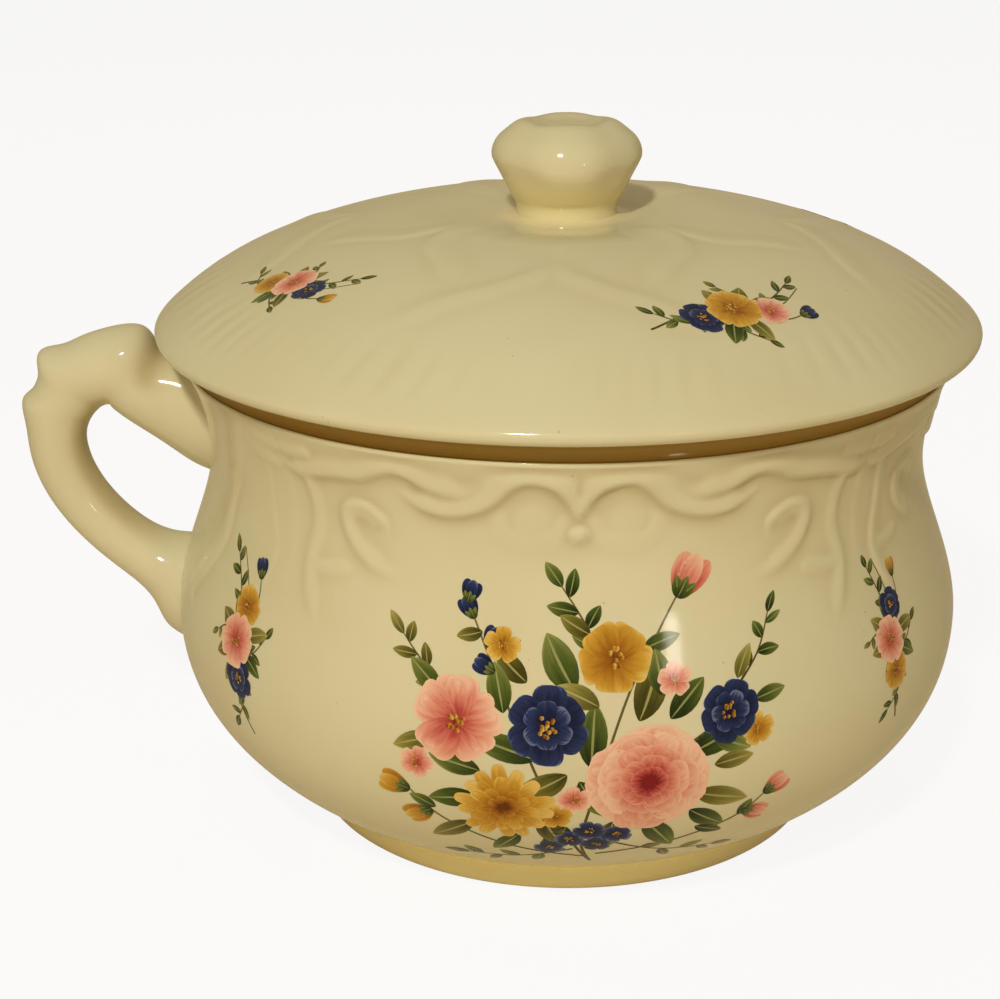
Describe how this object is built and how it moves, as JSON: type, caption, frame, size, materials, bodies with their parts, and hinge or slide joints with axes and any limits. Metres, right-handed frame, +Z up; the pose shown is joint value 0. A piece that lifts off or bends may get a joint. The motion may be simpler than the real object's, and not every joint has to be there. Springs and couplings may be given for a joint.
{
  "type": "covered chamber pot",
  "caption": "Bellied pot on a foot ring with an ear handle, a moulded scroll border round the neck and a loose domed lid with a lobed knob; holds liquid and is carried by the handle.",
  "frame": {"origin": "centre of the foot ring, in the plane that it rests on", "axes": "+Z up along the pot's axis, -X towards the handle, -Y towards the front of the pot"},
  "size_m": [0.2763, 0.234, 0.201],
  "materials": {
    "cream_glaze": "glossy cream lead-type glaze on earthenware"
  },
  "bodies": {
    "pot": {"pot_body": "cream_glaze", "handle": "cream_glaze", "scroll_border": "cream_glaze"},
    "lid": {"lid": "cream_glaze", "lid_knob": "cream_glaze"}
  },
  "joints": [
    {"name": "lid_lift", "type": "slide", "parent": "pot", "child": "lid", "axis": [0, 0, 1], "range_m": [0, 0.15]}
  ]
}
